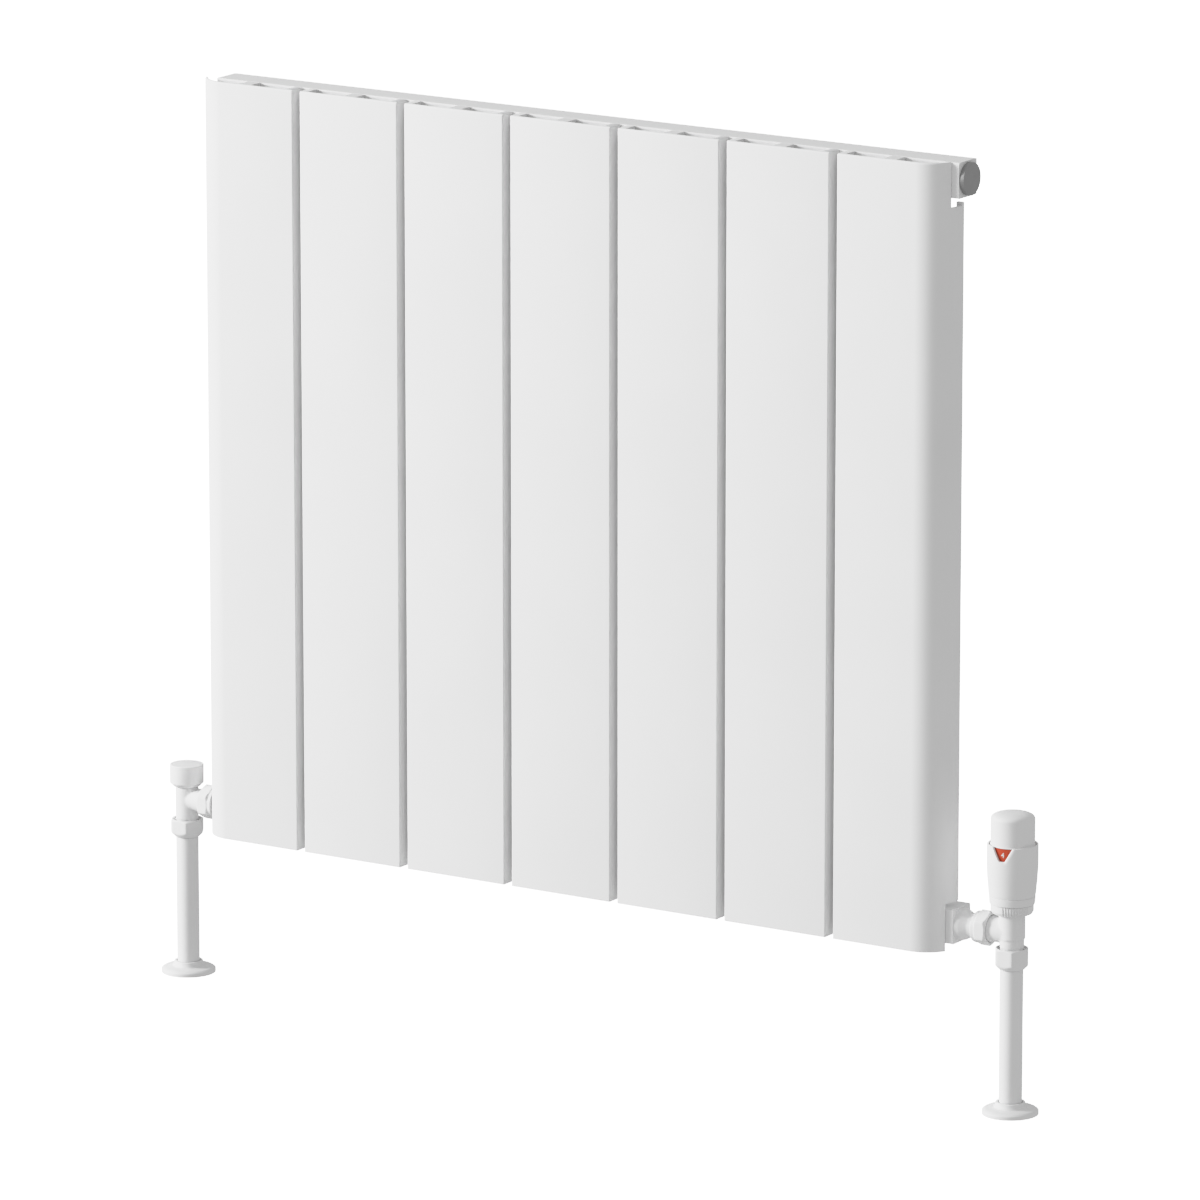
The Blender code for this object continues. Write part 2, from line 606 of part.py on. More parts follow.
def make_pipe(side, name, top, cover_top):
    """Copper pipe from the floor into its valve, with a white cover and a floor rose round it."""
    floor = (side * PIPE_X, AXIS_Y, 0)
    pipe = PIPE_RADIUS / MM
    bore = PIPE_BORE / MM
    turned("pipe_" + name, [(pipe, top), (pipe, 0), (bore, 0), (bore, top)], COPPER, floor, closed=True)
    cover = SLEEVE_RADIUS / MM
    cover_bore = SLEEVE_BORE / MM
    turned("pipe_sleeve_" + name, [(cover, cover_top), (cover, 0), (cover_bore, 0), (cover_bore, cover_top)],
           VALVE_WHITE, floor, closed=True)
    edge = ROSE_RADIUS / MM
    hole = ROSE_BORE / MM
    rose = [(11.2, 9.3), (11.5, 9.0), (11.5, 7.0), (12.5, 5.4), (14.5, 4.7), (19.5, 4.2), (20.9, 3.3),
            (edge, 2.0), (edge, 0), (hole, 0), (hole, 9.3)]
    turned("floor_rose_" + name, rose, HEAD_PLASTIC, floor, closed=True)


def make_pipes():
    branch = BRANCH_Z / MM
    make_pipe(-1, "left", branch - 17.6, branch - 30.5)
    make_pipe(1, "right", branch - 14.0, branch - 28.5)


make_panels()
make_header("top_header", TOP_AXIS_Z, -1)
make_header("bottom_header", BRANCH_Z, 1)
for boss_name, boss_side, boss_z in [("top_left", -1, TOP_AXIS_Z), ("top_right", 1, TOP_AXIS_Z),
                                     ("bottom_left", -1, BRANCH_Z), ("bottom_right", 1, BRANCH_Z)]:
    make_boss("header_boss_" + boss_name, boss_side, boss_z)
make_top_plugs()
make_brackets()
make_thermostatic_valve()
make_lockshield_valve()
make_pipes()
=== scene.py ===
"""Detailed look of a flat-panel radiator and its two valves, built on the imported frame."""

import json
import math

import bmesh
import bpy
from mathutils import Matrix, Vector


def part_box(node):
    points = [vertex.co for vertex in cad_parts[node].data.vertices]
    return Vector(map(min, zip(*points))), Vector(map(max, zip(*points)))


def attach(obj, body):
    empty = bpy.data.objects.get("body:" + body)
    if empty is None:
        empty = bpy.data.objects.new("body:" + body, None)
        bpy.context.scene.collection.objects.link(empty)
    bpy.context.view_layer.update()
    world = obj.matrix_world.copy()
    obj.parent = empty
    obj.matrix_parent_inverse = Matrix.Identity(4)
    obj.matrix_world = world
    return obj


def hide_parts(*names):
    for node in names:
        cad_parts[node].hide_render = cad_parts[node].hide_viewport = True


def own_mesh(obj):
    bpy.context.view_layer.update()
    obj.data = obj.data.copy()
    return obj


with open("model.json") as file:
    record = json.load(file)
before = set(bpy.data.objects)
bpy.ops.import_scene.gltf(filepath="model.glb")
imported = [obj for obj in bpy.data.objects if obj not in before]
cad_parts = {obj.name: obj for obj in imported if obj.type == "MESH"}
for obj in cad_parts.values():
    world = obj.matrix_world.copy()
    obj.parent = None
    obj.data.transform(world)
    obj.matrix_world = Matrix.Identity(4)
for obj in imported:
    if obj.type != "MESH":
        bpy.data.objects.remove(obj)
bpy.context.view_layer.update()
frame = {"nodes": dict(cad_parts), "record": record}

MM = 0.001
WHITE_COAT = "white_coat"
VALVE_WHITE = "valve_white"
HEAD_PLASTIC = "head_plastic"


# ---------------------------------------------------------------- places taken from the frame

def centre_of(node):
    low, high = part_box(node)
    return [(a + b) / 2 / MM for a, b in zip(low, high)]


def span_of(node, axis):
    low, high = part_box(node)
    return low[axis] / MM, high[axis] / MM


PIPE_X, AXIS_Y, _ = centre_of("pipe_right")
BRANCH_Z = centre_of("bottom_header")[2]
TOP_AXIS_Z = centre_of("top_header")[2]
HEADER_LEFT, HEADER_RIGHT = span_of("top_header", 0)
HEADER_FRONT, HEADER_BACK = span_of("top_header", 1)
HEADER_BOTTOM, HEADER_TOP = span_of("top_header", 2)
LOW_HEADER_BOTTOM, LOW_HEADER_TOP = span_of("bottom_header", 2)
PANEL_FRONT, PANEL_BACK = span_of("panel_2", 1)
PANEL_BOTTOM, PANEL_TOP = span_of("panel_2", 2)
PANEL_LEFT, PANEL_RIGHT = span_of("panel_2", 0)
PANEL_WIDTH = PANEL_RIGHT - PANEL_LEFT
PANEL_PITCH = span_of("panel_3", 0)[0] - PANEL_LEFT
PANEL_DEPTH = PANEL_BACK - PANEL_FRONT
END_EXTRA = span_of("panel_7", 0)[1] - span_of("panel_7", 0)[0] - PANEL_WIDTH
PANEL_COUNT = 7

# Panel section, in millimetres
PLATE = 2.0
SIDE_WALL = 6.8
WEB_LEFT = 39.5
WEB_RIGHT = 50.5
LIP = 3.0
EDGE_RADIUS = 1.0
END_RADIUS = 25.0
TOP_ROUNDING = 1.5
BOTTOM_ROUNDING = 0.9
SIDE_ROUNDING = 0.4
CORNER_PIECES = 6
END_PIECES = 40
TOP_NOTCH = 7.0
TOP_LIP_NOTCH = 4.5
BOTTOM_NOTCH = 3.7

# Room between neighbouring pieces, and how far the outermost faces stay inside the CAD box
GAP = 0.3
INSIDE = 0.01


# ---------------------------------------------------------------- materials

def new_material(name):
    material = bpy.data.materials.new(name)
    material.use_nodes = True
    shader = material.node_tree.nodes["Principled BSDF"]
    return material, material.node_tree, shader


def noise_at(tree, scale, detail=2.0):
    """Noise in object space, with its scale in features a metre."""
    place = tree.nodes.new("ShaderNodeTexCoord")
    noise = tree.nodes.new("ShaderNodeTexNoise")
    noise.inputs["Scale"].default_value = scale
    noise.inputs["Detail"].default_value = detail
    tree.links.new(place.outputs["Object"], noise.inputs["Vector"])
    return noise.outputs["Fac"]


def to_range(tree, value, low, high):
    node = tree.nodes.new("ShaderNodeMapRange")
    node.inputs["To Min"].default_value = low
    node.inputs["To Max"].default_value = high
    tree.links.new(value, node.inputs["Value"])
    return node.outputs["Result"]


def tint(tree, value, dark, light):
    """Colour between two close shades."""
    ramp = tree.nodes.new("ShaderNodeValToRGB")
    ramp.color_ramp.elements[0].position = 0.3
    ramp.color_ramp.elements[1].position = 0.7
    ramp.color_ramp.elements[0].color = (*dark, 1)
    ramp.color_ramp.elements[1].color = (*light, 1)
    tree.links.new(value, ramp.inputs["Fac"])
    return ramp.outputs["Color"]


def bump(tree, value, distance, strength, below=None):
    node = tree.nodes.new("ShaderNodeBump")
    node.inputs["Distance"].default_value = distance
    node.inputs["Strength"].default_value = strength
    tree.links.new(value, node.inputs["Height"])
    if below is not None:
        tree.links.new(below, node.inputs["Normal"])
    return node.outputs["Normal"]


def coated(name, colour, roughness, peel_size, peel_strength, spread=0.012, specular=0.4):
    """Painted or moulded surface: close shades, a soft gloss that wanders, and a fine texture."""
    material, tree, shader = new_material(name)
    dark = [channel - spread for channel in colour]
    light = [channel + spread for channel in colour]
    clouds = noise_at(tree, 9.0, 3.0)
    tree.links.new(tint(tree, clouds, dark, light), shader.inputs["Base Color"])
    patches = noise_at(tree, 60.0, 2.0)
    gloss = to_range(tree, patches, roughness - 0.04, roughness + 0.04)
    tree.links.new(gloss, shader.inputs["Roughness"])
    peel = bump(tree, noise_at(tree, 1 / (peel_size * MM), 1.0), 0.03 * MM, peel_strength)
    grain = bump(tree, noise_at(tree, 4 / (peel_size * MM), 2.0), 0.01 * MM, peel_strength, peel)
    tree.links.new(grain, shader.inputs["Normal"])
    shader.inputs["Specular IOR Level"].default_value = specular
    return material


def metal(name, colour, roughness, mark_size, stretch, tarnish=0.05, brushed=0.25):
    """Bare or plated metal with fine marks stretched along the tool's path and a slight tarnish."""
    material, tree, shader = new_material(name)
    place = tree.nodes.new("ShaderNodeTexCoord")
    mapping = tree.nodes.new("ShaderNodeMapping")
    mapping.inputs["Scale"].default_value = stretch
    marks = tree.nodes.new("ShaderNodeTexNoise")
    marks.inputs["Scale"].default_value = 1 / (mark_size * MM)
    marks.inputs["Detail"].default_value = 3.0
    tree.links.new(place.outputs["Object"], mapping.inputs["Vector"])
    tree.links.new(mapping.outputs["Vector"], marks.inputs["Vector"])
    dark = [channel * (1 - tarnish * 2) for channel in colour]
    stain = noise_at(tree, 180.0, 4.0)
    tree.links.new(tint(tree, stain, dark, colour), shader.inputs["Base Color"])
    rough = to_range(tree, marks.outputs["Fac"], roughness - 0.08, roughness + 0.08)
    tree.links.new(rough, shader.inputs["Roughness"])
    tree.links.new(bump(tree, marks.outputs["Fac"], 0.02 * MM, brushed), shader.inputs["Normal"])
    shader.inputs["Metallic"].default_value = 1.0
    return material


ROUND_MARKS = (1.0, 1.0, 14.0)
LONG_MARKS = (14.0, 14.0, 1.0)
FACE_MARKS = (1.0, 10.0, 10.0)
EVEN_MARKS = (3.0, 3.0, 3.0)

MATERIALS = {
    WHITE_COAT: coated("white_powder_coat", (0.88, 0.88, 0.88), 0.55, 1.6, 0.15, specular=0.25),
    VALVE_WHITE: coated("white_valve_lacquer", (0.88, 0.88, 0.88), 0.55, 1.1, 0.1, specular=0.25),
    HEAD_PLASTIC: coated("white_moulded_plastic", (0.88, 0.88, 0.88), 0.6, 0.45, 0.12, 0.008, 0.25),
    "dial_red": coated("orange_red_plastic", (0.66, 0.09, 0.035), 0.5, 0.4, 0.15, 0.01, 0.3),
    "plug_nickel": metal("satin_nickel_plate", (0.41, 0.41, 0.41), 0.5, 2.0, FACE_MARKS, 0.03, 0.15),
    "brass": metal("machined_brass", (0.72, 0.52, 0.24), 0.3, 1.2, ROUND_MARKS, 0.08),
    "copper": metal("drawn_copper", (0.72, 0.38, 0.25), 0.32, 1.5, LONG_MARKS, 0.15),
    "steel": metal("zinc_plated_steel", (0.62, 0.63, 0.64), 0.38, 2.5, EVEN_MARKS, 0.08),
    "rubber": coated("black_rubber", (0.035, 0.035, 0.035), 0.7, 0.8, 0.3, 0.008, 0.25),
    "pad_plastic": coated("grey_pad_plastic", (0.2, 0.2, 0.2), 0.55, 0.6, 0.25, 0.015),
}
DIGIT_WHITE = coated("white_dial_print", (0.84, 0.82, 0.80), 0.5, 0.3, 0.08, 0.008, 0.3)


# ---------------------------------------------------------------- building

def finished(name, mesh, body, slot, nodes=(), material=None, sharp_degrees=32.0):
    """Link a mesh as a finished piece on its body, in the place of its CAD nodes."""
    mesh.shade_smooth()
    mesh.set_sharp_from_angle(angle=math.radians(sharp_degrees))
    mesh.materials.clear()
    mesh.materials.append(material or MATERIALS[slot])
    piece = bpy.data.objects.new(name, mesh)
    bpy.context.scene.collection.objects.link(piece)
    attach(piece, body)
    if nodes:
        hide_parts(*nodes)
    return piece


def to_mesh(name, shape, matrix=None):
    bmesh.ops.remove_doubles(shape, verts=shape.verts, dist=0.000001)
    bmesh.ops.recalc_face_normals(shape, faces=shape.faces)
    if matrix is not None:
        shape.transform(matrix)
    mesh = bpy.data.meshes.new(name)
    shape.to_mesh(mesh)
    shape.free()
    return mesh


def rounded(corners, closed):
    """Profile or outline points, in which each corner (x, y, fillet) becomes an arc."""
    points = []
    for index, (x, y, fillet) in enumerate(corners):
        here = Vector((x, y))
        end = not closed and index in (0, len(corners) - 1)
        if fillet == 0 or end:
            points.append(here)
            continue
        before = (Vector(corners[index - 1][:2]) - here).normalized()
        after = (Vector(corners[(index + 1) % len(corners)][:2]) - here).normalized()
        angle = before.angle(after)
        centre = here + (before + after).normalized() * (fillet / math.sin(angle / 2))
        start = here + before * (fillet / math.tan(angle / 2)) - centre
        turn = math.pi - angle
        if before.cross(after) > 0:
            turn = -turn
        pieces = max(2, math.ceil(abs(math.degrees(turn)) / 12))
        for step in range(pieces + 1):
            part = turn * step / pieces
            points.append(centre + Matrix.Rotation(part, 2) @ start)
    return points


def bridge(shape, first, second):
    """Faces between two rings, either of which may be a single point."""
    count = max(len(first), len(second))
    for step in range(count):
        after = (step + 1) % count
        corners = [first[step % len(first)], first[after % len(first)],
                   second[after % len(second)], second[step % len(second)]]
        unique = list(dict.fromkeys(corners))
        if len(unique) >= 3:
            shape.faces.new(unique)


def divided(points, closed, longest):
    """The points with more between them wherever a stretch is longer than that."""
    result = []
    followers = points[1:] + points[:1] if closed else points[1:]
    for start, end in zip(points, followers):
        pieces = max(1, math.ceil((end - start).length / longest))
        result += [start.lerp(end, step / pieces) for step in range(pieces)]
    return result if closed else result + points[-1:]


def lathe(corners, steps=96, section=None, closed=True, longest=1000.0):
    """A profile of (radius, height, fillet) corners, in millimetres, turned round Z."""
    shape = bmesh.new()
    rings = []
    for radius, height in divided(rounded(corners, closed), closed, longest):
        if radius < 1e-6:
            rings.append([shape.verts.new((0, 0, height * MM))])
            continue
        ring = []
        for step in range(steps):
            angle = 2 * math.pi * step / steps
            reach = section(angle, radius, height) if section else radius
            ring.append(shape.verts.new((reach * math.cos(angle) * MM, reach * math.sin(angle) * MM,
                                         height * MM)))
        rings.append(ring)
    for lower, upper in zip(rings, rings[1:]):
        bridge(shape, lower, upper)
    if closed:
        bridge(shape, rings[-1], rings[0])
    return shape


def soft_min(a, b, softness):
    """The smaller of two values, with the change from one to the other rounded."""
    blend = max(softness - abs(a - b), 0.0) / softness
    return min(a, b) - blend * blend * softness / 4


def hexagon(flats):
    """Section that limits a turned form to a hexagonal prism, with a corner at angle 0 and softened edges."""
    def limit(angle, radius, height):
        off = angle % (math.pi / 3) - math.pi / 6
        return soft_min(radius, flats / 2 / math.cos(off), NUT_SOFTNESS)
    return limit


def box_section(half_width, half_height, corner):
    """Section that limits a turned form to a rectangular prism with rounded corners."""
    def limit(angle, radius, height):
        across = abs(math.cos(angle))
        up = abs(math.sin(angle))
        reach = min(half_width / max(across, 1e-9), half_height / max(up, 1e-9))
        if reach * across > half_width - corner and reach * up > half_height - corner:
            x = half_width - corner
            y = half_height - corner
            along = x * across + y * up
            reach = along + math.sqrt(along * along - x * x - y * y + corner * corner)
        return min(radius, reach)
    return limit


def outline_prism(points, thickness):
    """Outline in X and Y, extruded along Z about its middle, in millimetres."""
    shape = bmesh.new()
    lower = [shape.verts.new((x * MM, y * MM, -thickness / 2 * MM)) for x, y in points]
    upper = [shape.verts.new((x * MM, y * MM, thickness / 2 * MM)) for x, y in points]
    bridge(shape, lower, upper)
    shape.faces.new(lower)
    shape.faces.new(upper)
    return shape


def boxes(corner_pairs):
    """Separate boxes, each given by its lowest and highest corner in millimetres."""
    shape = bmesh.new()
    for low, high in corner_pairs:
        made = bmesh.ops.create_cube(shape, size=1.0)["verts"]
        size = [(b - a) * MM for a, b in zip(low, high)]
        centre = [(a + b) / 2 * MM for a, b in zip(low, high)]
        bmesh.ops.scale(shape, vec=size, verts=made)
        bmesh.ops.translate(shape, vec=centre, verts=made)
    return to_mesh("cutter", shape)


def modified(mesh, modifiers):
    """The mesh after a list of (type, settings) modifiers."""
    source = bpy.data.objects.new("source", mesh)
    bpy.context.scene.collection.objects.link(source)
    helpers = []
    for kind, settings in modifiers:
        modifier = source.modifiers.new(kind.lower(), kind)
        for key, value in settings.items():
            if key == "object":
                value = bpy.data.objects.new("helper", value)
                bpy.context.scene.collection.objects.link(value)
                helpers.append(value)
            setattr(modifier, key, value)
    evaluated = source.evaluated_get(bpy.context.evaluated_depsgraph_get())
    result = bpy.data.meshes.new_from_object(evaluated)
    for used in [source] + helpers:
        bpy.data.objects.remove(used, do_unlink=True)
    return result


def cut(mesh, cutters):
    steps = [("BOOLEAN", {"operation": "DIFFERENCE", "solver": "EXACT", "object": cutter})
             for cutter in cutters]
    return modified(mesh, steps)


def joined(mesh, other):
    return modified(mesh, [("BOOLEAN", {"operation": "UNION", "solver": "EXACT", "object": other})])


def softened(mesh, width, segments=2, degrees=30.0):
    """The mesh with its sharper edges rounded."""
    return modified(mesh, [("BEVEL", {"width": width * MM, "segments": segments,
                                      "limit_method": "ANGLE", "angle_limit": math.radians(degrees)})])


def at(x, y, z):
    return Matrix.Translation((x * MM, y * MM, z * MM))


def at_branch(side):
    return at(side * PIPE_X, AXIS_Y, BRANCH_Z)


def inward(side):
    """Turns a piece's +Z from the pipe towards the radiator."""
    return at_branch(side) @ Matrix.Rotation(-side * math.pi / 2, 4, "Y")


# ---------------------------------------------------------------- panels

def arc(centre, radii, start, end, pieces):
    points = []
    for index in range(pieces + 1):
        angle = math.radians(start + (end - start) * index / pieces)
        points.append((centre[0] + radii[0] * math.cos(angle), centre[1] + radii[1] * math.sin(angle)))
    return points


def panel_outline(right_end, front_inset, side_inset):
    """Open-backed comb section, drawn in from its front and sides by the insets."""
    width = PANEL_WIDTH + (END_EXTRA if right_end else 0)
    corner = max(EDGE_RADIUS - max(front_inset, side_inset), 0.15)
    outline = arc((side_inset + corner, front_inset + corner), (corner, corner), 180, 270, CORNER_PIECES)
    if right_end:
        outline += arc((width - END_RADIUS, END_RADIUS),
                       (END_RADIUS - side_inset, END_RADIUS - front_inset), 270, 360, END_PIECES)
    else:
        outline += arc((width - side_inset - corner, front_inset + corner), (corner, corner), 270, 360,
                       CORNER_PIECES)
    lip_x = width - (PLATE if right_end else SIDE_WALL)
    outline += [(width - side_inset, PANEL_DEPTH), (lip_x - LIP, PANEL_DEPTH)]
    outline += [(lip_x - LIP, PANEL_DEPTH - LIP), (lip_x, PANEL_DEPTH - LIP)]
    if right_end:
        reach = END_RADIUS - PLATE
        outline += arc((width - END_RADIUS, END_RADIUS), (reach, reach), 360, 270, END_PIECES)
    else:
        outline += [(lip_x, PLATE)]
    outline += [(WEB_RIGHT, PLATE), (WEB_RIGHT, PANEL_DEPTH), (WEB_LEFT, PANEL_DEPTH), (WEB_LEFT, PLATE)]
    outline += [(SIDE_WALL, PLATE), (SIDE_WALL, PANEL_DEPTH - LIP), (SIDE_WALL + LIP, PANEL_DEPTH - LIP)]
    outline += [(SIDE_WALL + LIP, PANEL_DEPTH), (side_inset, PANEL_DEPTH)]
    return outline


def end_slices(edge, direction, rounding):
    """Heights and insets of the slices that round the panel's outer rim, from its outermost one in."""
    slices = []
    for step in range(CORNER_PIECES + 1):
        angle = math.pi / 2 * step / CORNER_PIECES
        inset = 1 - math.sin(angle)
        depth = 1 - math.cos(angle)
        slices.append((edge - direction * rounding * depth, rounding * inset, SIDE_ROUNDING * inset))
    return slices


def panel_shell(right_end):
    slices = end_slices(PANEL_BOTTOM, -1, BOTTOM_ROUNDING)
    slices += reversed(end_slices(PANEL_TOP - INSIDE, 1, TOP_ROUNDING))
    shape = bmesh.new()
    rings = []
    for height, front_inset, side_inset in slices:
        outline = panel_outline(right_end, front_inset, side_inset)
        rings.append([shape.verts.new((x * MM, y * MM, height * MM)) for x, y in outline])
    for lower, upper in zip(rings, rings[1:]):
        bridge(shape, lower, upper)
    shape.faces.new(rings[0])
    shape.faces.new(rings[-1])
    return to_mesh("panel", shape)


def panel_cutters():
    """The headers' slots across the panel, and the higher notches between the webs."""
    slot_y = HEADER_FRONT - PANEL_FRONT - GAP
    lip_y = PANEL_DEPTH - LIP - GAP
    back_y = PANEL_DEPTH + 5
    over = PANEL_TOP + 5
    under = PANEL_BOTTOM - 5
    far = PANEL_PITCH
    slots = boxes([
        ((-far, slot_y, HEADER_BOTTOM - GAP), (2 * far, back_y, over)),
        ((-far, slot_y, under), (2 * far, back_y, LOW_HEADER_TOP + GAP)),
    ])
    gaps = [(WEB_RIGHT - PANEL_PITCH, WEB_LEFT), (WEB_RIGHT, WEB_LEFT + PANEL_PITCH)]
    floors = boxes([((a, slot_y, HEADER_BOTTOM - TOP_NOTCH), (b, lip_y, over)) for a, b in gaps])
    lips = boxes([((a, slot_y, HEADER_BOTTOM - TOP_LIP_NOTCH), (b, back_y, over)) for a, b in gaps])
    ceilings = boxes([((a, slot_y, under), (b, back_y, LOW_HEADER_TOP + BOTTOM_NOTCH)) for a, b in gaps])
    return [slots, floors, lips, ceilings]


def make_panels():
    cutters = panel_cutters()
    middle = cut(panel_shell(False), cutters)
    end = cut(panel_shell(True), cutters)
    for index in range(PANEL_COUNT):
        left = PANEL_LEFT + (index - 1) * PANEL_PITCH
        place = at(left, PANEL_FRONT, 0)
        if index == 0:
            place = at(left + PANEL_WIDTH, PANEL_FRONT, 0) @ Matrix.Scale(-1, 4, (1, 0, 0))
        source = end if index in (0, PANEL_COUNT - 1) else middle
        mesh = source.copy()
        mesh.transform(place)
        if index == 0:
            mesh.flip_normals()
        node = f"panel_{index + 1}"
        finished("coated_" + node, mesh, "radiator", WHITE_COAT, [node])


# ---------------------------------------------------------------- headers and plugs

HEADER_CORNER = 1.2
PORT_RADIUS = 10.6
PORT_DEPTH = 11.0


def make_header(node, bosses, axis_z):
    """Square tube whose closed ends carry a round port each."""
    length = HEADER_RIGHT - HEADER_LEFT
    half_depth = (HEADER_BACK - HEADER_FRONT) / 2
    half_height = (HEADER_TOP - HEADER_BOTTOM) / 2 - INSIDE
    outer = math.hypot(half_depth, half_height)
    profile = [(PORT_RADIUS, PORT_DEPTH - length / 2, 0), (PORT_RADIUS, -length / 2, 0.3),
               (outer, -length / 2, 0), (outer, length / 2, 0), (PORT_RADIUS, length / 2, 0.4),
               (PORT_RADIUS, length / 2 - PORT_DEPTH, 0)]
    shape = lathe(profile, 288, box_section(half_height, half_depth, HEADER_CORNER), closed=False)
    middle = (HEADER_LEFT + HEADER_RIGHT) / 2
    place = at(middle, (HEADER_FRONT + HEADER_BACK) / 2, axis_z) @ Matrix.Rotation(math.pi / 2, 4, "Y")
    mesh = to_mesh(node, shape, place)
    finished("coated_" + node, mesh, "radiator", WHITE_COAT, [node] + bosses)


def make_plugs():
    """Plain plug at the right of the top header, and the air vent's plug at the left."""
    flange = [(11.5, 4.0, 0.15), (12.35, 3.8, 0.3), (12.35, 0.3, 0.2), (9.9, 0.3, 0.2), (9.9, -8.0, 0.6)]
    blank = [(0, 3.9, 0), (11.2, 3.9, 0.15)] + flange + [(0, -8.0, 0)]
    vent = flange + [(2.1, -8.0, 0.2), (2.1, 1.0, 0.2), (5.2, 1.0, 0), (5.2, 4.0, 0.3)]
    plugs = [("blanking_plug", blank, False, HEADER_RIGHT, 1), ("air_vent_plug", vent, True, HEADER_LEFT, -1)]
    for node, profile, closed, end, side in plugs:
        place = at(end, AXIS_Y, TOP_AXIS_Z) @ Matrix.Rotation(side * math.pi / 2, 4, "Y")
        mesh = to_mesh(node, lathe(profile, closed=closed), place)
        finished("satin_" + node, mesh, "radiator", "plug_nickel", [node])


# ---------------------------------------------------------------- brackets

BRACKET_PLATE = 3.0
PAD_THICKNESS = 2.0
HOOK_RISE = 8.0
SCREW_RADIUS = 2.75
SCREW_HEIGHTS = (6.5, -11.0)


def make_brackets():
    """J-shaped steel brackets with rounded bends, each with two screw holes in its wall plate."""
    for number in range(1, 5):
        node = f"wall_bracket_{number}"
        (low_x, low_y, low_z), (high_x, high_y, high_z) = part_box(node)
        front = low_y / MM
        wall = high_y / MM - INSIDE
        header_bottom = HEADER_BOTTOM if number <= 2 else LOW_HEADER_BOTTOM
        under = header_bottom - PAD_THICKNESS - 2 * GAP - BRACKET_PLATE
        leg_top = header_bottom + HOOK_RISE
        face = wall - BRACKET_PLATE
        corners = [(front, under, 4.0), (face, under, 1.0), (face, low_z / MM, 0.8), (wall, low_z / MM, 0.8),
                   (wall, high_z / MM, 0.8), (face, high_z / MM, 0.8),
                   (face, under + BRACKET_PLATE, 1.0), (front + BRACKET_PLATE, under + BRACKET_PLATE, 1.0),
                   (front + BRACKET_PLATE, leg_top, 0.8), (front, leg_top, 0.8)]
        width = (high_x - low_x) / MM
        middle_x = (low_x + high_x) / 2 / MM
        upright = Matrix.Rotation(math.pi / 2, 4, "Z") @ Matrix.Rotation(math.pi / 2, 4, "X")
        shape = outline_prism(rounded(corners, True), width)
        mesh = to_mesh(node, shape, at(middle_x, 0, 0) @ upright)
        holes = []
        for height in SCREW_HEIGHTS:
            drill = lathe([(0, -8, 0), (SCREW_RADIUS, -8, 0), (SCREW_RADIUS, 8, 0), (0, 8, 0)], 48,
                          closed=False)
            place = at(middle_x, wall, header_bottom + height) @ Matrix.Rotation(math.pi / 2, 4, "X")
            holes.append(to_mesh("hole", drill, place))
        mesh = softened(cut(mesh, holes), 0.3)
        finished("pressed_" + node, mesh, "radiator", "steel", [node])


# ---------------------------------------------------------------- valve parts shared by both sides

NUT_STEPS = 180
NUT_RING_SPACING = 0.35
UNION_FLATS = 24.5
COMPRESSION_FLATS = 24.6
NUT_SOFTNESS = 1.0
BODY_VOXEL = 0.45
SEAM_WIDTH = 2.2
SEAM_PASSES = 14
SKIN_PASSES = 2


def make_union(side, prefix):
    """Hexagonal union nut, and the tail that its lip draws against the branch."""
    nut = [(10.5, 17.0, 0.3), (11.6, 17.0, 0.3), (14.0, 18.6, 0.5), (14.0, 25.6, 0.6), (12.1, 26.7, 0.3),
           (12.1, 30.2, 1.1), (8.3, 30.5, 0.2), (8.3, 28.1, 0), (10.5, 28.1, 0)]
    shape = lathe(nut, NUT_STEPS, hexagon(UNION_FLATS), longest=NUT_RING_SPACING)
    mesh = to_mesh("nut", shape, inward(side))
    finished(prefix + "_lacquered_union_nut", mesh, "radiator", VALVE_WHITE, [prefix + "_union_nut"])
    reach = PIPE_X - HEADER_RIGHT
    tail = [(10.2, reach + 9.5, 0.4), (10.2, reach, 0), (12.4, reach, 0), (12.0, 40.0, 6.0),
            (9.3, 34.5, 3.0), (9.3, 30.8, 0.3), (8.0, 30.8, 0.2), (8.0, 27.8, 0), (10.2, 27.8, 0),
            (10.2, 23.5, 0.2), (6.0, 23.5, 0.2), (6.0, reach + 9.5, 0.3)]
    mesh = to_mesh("tail", lathe(tail), inward(side))
    finished(prefix + "_lacquered_tail", mesh, "radiator", VALVE_WHITE, [prefix + "_tail"])


def make_compression_nut(side, prefix, bottom, top):
    """Hexagonal nut with a long lower chamfer and a recess round the valve's barrel."""
    nut = [(11.0, top - 1.6, 0.2), (11.0, top, 0.25), (12.0, top, 0.25), (14.0, top - 1.3, 0.5),
           (14.0, bottom + 4.4, 1.2), (9.7, bottom, 0.5), (7.8, bottom, 0.2), (7.8, bottom + 2.4, 0),
           (9.3, bottom + 2.4, 0), (9.3, top - 1.6, 0.1)]
    shape = lathe(nut, NUT_STEPS, hexagon(COMPRESSION_FLATS), longest=NUT_RING_SPACING)
    mesh = to_mesh("nut", shape, at_branch(side))
    finished(prefix + "_lacquered_compression_nut", mesh, "radiator", VALVE_WHITE,
             [prefix + "_compression_nut"])


